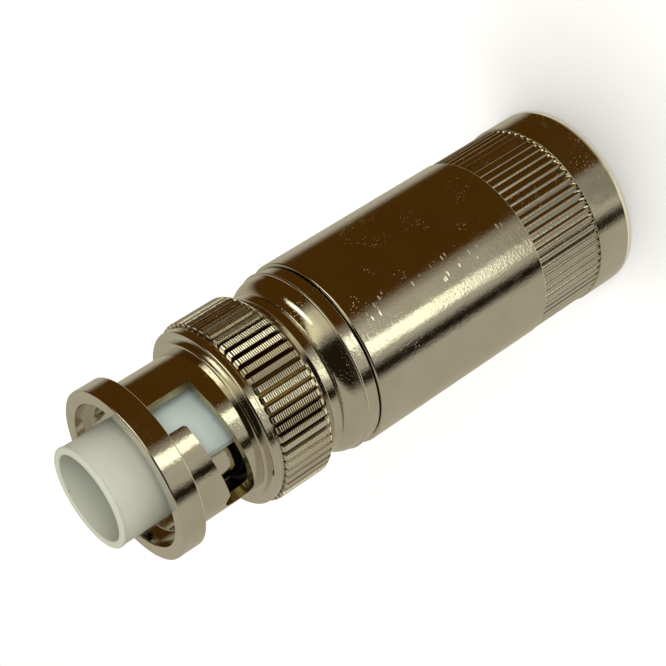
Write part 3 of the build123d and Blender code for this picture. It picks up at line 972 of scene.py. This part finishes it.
    def hidden_pieces(self) -> None:
        """Dress the CAD nodes that stay, inside the barrel and the sleeve, and give the springs meshes of
        their own.
        """
        finishes = {
            "pressure_sleeve": self.nickel, "clamp_washer": self.nickel, "braid_clamp": self.nickel,
            "clamp_gasket": self.rubber, "rear_insulator": self.white, "retaining_ring": self.steel,
            "slip_washer": self.steel, "wave_washer_rear": self.steel, "wave_washer_front": self.steel}
        for name, material in finishes.items():
            node = frame["nodes"][name]
            node.data.materials.clear()
            node.data.materials.append(material)
            LOG.info("%s: CAD node with %s", name, material.name)
        # Both springs get meshes of their own.
        for name in ("wave_washer_rear", "wave_washer_front"):
            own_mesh(frame["nodes"][name])

    def build(self) -> None:
        """Make every piece."""
        self.rear_barrel()
        self.connector_body()
        self.coupling_sleeve()
        self.outer_contact()
        self.insulators()
        self.centre_contact()
        self.hidden_pieces()


class Studio:
    """Pale floor, soft lamps and the surroundings that the plating mirrors."""

    # What stands round the plug. Each thing has one tone.
    wall: str = "#989280"
    opening: str = "#181408"
    screen: str = "#D0C8A0"
    wood: str = "#402808"
    paper: str = "#D8D0B0"
    softbox: str = "#FFFFE0"
    pale: str = "#F7F7F6"
    near: str = "#DEDCD6"
    shade: str = "#B5B0A4"
    sheet: tuple[str, str] = ("#F5F5F4", "#F3F3F2")

    def _mirrored(self, tree: bpy.types.NodeTree, turn: bpy.types.NodeSocket,
                  height: bpy.types.NodeSocket) -> bpy.types.NodeSocket:
        """What the plating mirrors: broad plain things, placed by direction in degrees.

        Args:
            tree: the world's node tree.
            turn: the direction's angle about the axis, in radians from -Y toward +X.
            height: its angle above the horizon, in radians.

        Returns:
            The colour.
        """
        def between(first: float, last: float, target: tuple[float, float] = (0, 1)) -> bpy.types.NodeSocket:
            """A value that changes between two heights."""
            return mapped_range(tree, height, (math.radians(first), math.radians(last)), target)

        def across(first: float, last: float, blur: float) -> bpy.types.NodeSocket:
            """A mask between two angles about the axis."""
            return inside(tree, turn, math.radians(first), math.radians(last), math.radians(blur))

        def both(first: object, second: object) -> bpy.types.NodeSocket:
            """Two masks at once."""
            return arithmetic(tree, "MULTIPLY", first, second)

        def laid(under: object, mask: bpy.types.NodeSocket, tone: str,
                 gain: float = 1.0) -> bpy.types.NodeSocket:
            """One thing's tone laid over what is there, through its mask."""
            colour = [gain * c for c in linear(tone)[:3]] + [1.0]
            return add_node(tree, "MixRGB", {"Fac": mask, "Color1": under, "Color2": colour}).outputs[0]

        # A wall all round; before it a dark opening, a pale screen that brightens upward and a cupboard.
        raised, lowered = between(-17, -11), between(-17, -11, (1, 0))
        around = laid(linear(self.wall), both(across(-66, 14, 14), raised), self.opening)
        around = laid(around, both(across(8, 54, 14), both(raised, between(-10, 34, (0.4, 1)))), self.screen)
        cupboard = arithmetic(tree, "MAXIMUM", across(40, 142, 16), both(across(-2, 142, 16), lowered))
        around = laid(around, cupboard, self.wood)
        # A dark stand on the left, paper underfoot, and the softbox's shadow.
        around = laid(around, both(across(-68, -42, 9), lowered), self.opening)
        lit = arithmetic(tree, "SUBTRACT", 1.0, both(cupboard, 0.6))
        around = laid(around, both(between(-46, -38, (1, 0)), lit), self.paper)
        shadow = both(across(-38, 6, 8), between(-34.5, -32.5, (1, 0)))
        around = laid(around, both(shadow, 0.45), self.opening)
        # The softbox leans over where it hangs lowest, and hangs below the horizon only.
        lean = between(-26.5, -23.5, (math.radians(28), math.radians(9)))
        off = arithmetic(tree, "ABSOLUTE", arithmetic(tree, "ADD", turn, lean))
        side = mapped_range(tree, off, (math.radians(6), math.radians(9)), (1, 0))
        hung = both(between(-33.5, -30.5), between(-16.5, -14.5, (1, 0)))
        around = laid(around, both(side, hung), self.softbox, 1.2)
        # A small lamp, higher up and to the side, which only edges and the ribs' ticks catch.
        lamp = both(across(29, 81, 18), both(between(17, 26), between(28, 37, (1, 0))))
        return laid(around, lamp, self.softbox, 2.5)

    def world(self) -> None:
        """Build the surroundings as a procedural world."""
        world = bpy.data.worlds.new("studio")
        bpy.context.scene.world = world
        world.use_nodes = True
        tree = world.node_tree
        background = tree.nodes["Background"]
        east, north, up = add_node(tree, "SeparateXYZ", {0: object_point(tree)}).outputs
        mirrored = self._mirrored(tree, axis_angle(tree, east, north), arithmetic(tree, "ARCSINE", up))
        # Matt surfaces take a plain level that falls off toward the dark side of the room.
        plain = add_node(tree, "MixRGB", {"Fac": mapped_range(tree, east, (-0.5, 0.9), (0, 1)),
                                          "Color1": linear(self.near), "Color2": linear(self.shade)})
        path = add_node(tree, "LightPath").outputs
        seen = add_node(tree, "MixRGB", {"Fac": path["Is Camera Ray"], "Color1": plain.outputs[0],
                                         "Color2": linear(self.pale)})
        tone = add_node(tree, "MixRGB", {"Fac": path["Is Glossy Ray"], "Color1": seen.outputs[0],
                                         "Color2": mirrored})
        tree.links.new(tone.outputs[0], background.inputs["Color"])
        strength = arithmetic(tree, "MAXIMUM", arithmetic(tree, "MULTIPLY", path["Is Glossy Ray"], 1.5),
                              path["Is Camera Ray"])
        tree.links.new(arithmetic(tree, "MAXIMUM", strength, 0.66), background.inputs["Strength"])

    def floor(self) -> None:
        """Lay the pale paper that the plug stands on."""
        mesh = bmesh.new()
        bmesh.ops.create_grid(mesh, x_segments=1, y_segments=1, size=1.2)
        data = bpy.data.meshes.new("floor")
        mesh.to_mesh(data)
        mesh.free()
        floor = bpy.data.objects.new("floor", data)
        bpy.context.scene.collection.objects.link(floor)
        material, tree, shader = new_material("pale_paper")
        grain = scaled_noise(tree, object_point(tree), 9.0, detail=2.0)
        tone = add_node(tree, "MixRGB", {"Fac": mapped_range(tree, grain, (0.3, 0.7), (0, 1)),
                                         "Color1": linear(self.sheet[0]), "Color2": linear(self.sheet[1])})
        tree.links.new(tone.outputs[0], shader.inputs["Base Color"])
        shader.inputs["Roughness"].default_value = 0.9
        shader.inputs["Specular IOR Level"].default_value = 0.1
        data.materials.append(material)
        floor.location.z = -0.02 * MM
        floor.visible_glossy = False

    def lamp(self, name: str, place: Vector, size: float, watts: float, colour: str) -> None:
        """Hang a square soft lamp that points at the plug's middle.

        Args:
            name: the lamp's name.
            place: where it hangs, in metres.
            size: the length of its side, in metres.
            watts: its power.
            colour: its colour as a hex code.
        """
        light = bpy.data.lights.new(name, "AREA")
        light.shape, light.size, light.energy = "SQUARE", size, watts
        light.color = linear(colour)[:3]
        lamp = bpy.data.objects.new(name, light)
        lamp.location = place
        lamp.rotation_euler = (Vector((0, 0, 0.023)) - place).to_track_quat("-Z", "Y").to_euler()
        lamp.visible_glossy = False
        bpy.context.scene.collection.objects.link(lamp)

    def build(self) -> None:
        """Set the whole studio."""
        self.world()
        self.floor()
        self.lamp("key", Vector((0.05, -0.5, 0.2)), 0.3, 2.4, "#FFFFFF")
        self.lamp("fill", Vector((-0.04, 0.2, 0.6)), 0.5, 3.0, "#FFFFFF")


class PhotoCamera:
    """The camera as fitted to the photograph, its frame taken as 666 by 666."""

    place: Vector = Vector((0.0, -118.011, 82.696))
    right: Vector = Vector((-0.53836, -0.37680, -0.75378))
    up: Vector = Vector((0.84270, -0.24542, -0.47919))
    forward: Vector = Vector((0.00443, 0.89319, -0.44965))
    lens: float = 98.03

    def build(self) -> None:
        """Create it and make it the scene's camera."""
        data = bpy.data.cameras.new("photo_camera")
        data.lens, data.sensor_width, data.sensor_height, data.sensor_fit = self.lens, 36.0, 36.0, "AUTO"
        data.clip_start, data.clip_end = 0.002, 10.0
        camera = bpy.data.objects.new("photo_camera", data)
        turn = Matrix((self.right, self.up, -self.forward)).transposed()
        camera.matrix_world = Matrix.Translation(self.place * MM) @ turn.to_4x4()
        bpy.context.scene.collection.objects.link(camera)
        bpy.context.scene.camera = camera


def main() -> None:
    """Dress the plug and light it."""
    logging.basicConfig(level=logging.INFO, format="%(name)s %(message)s")
    bpy.context.scene.view_settings.view_transform = "Standard"
    Plug(Lathe()).build()
    Studio().build()
    PhotoCamera().build()


if __name__ == "__main__":
    main()
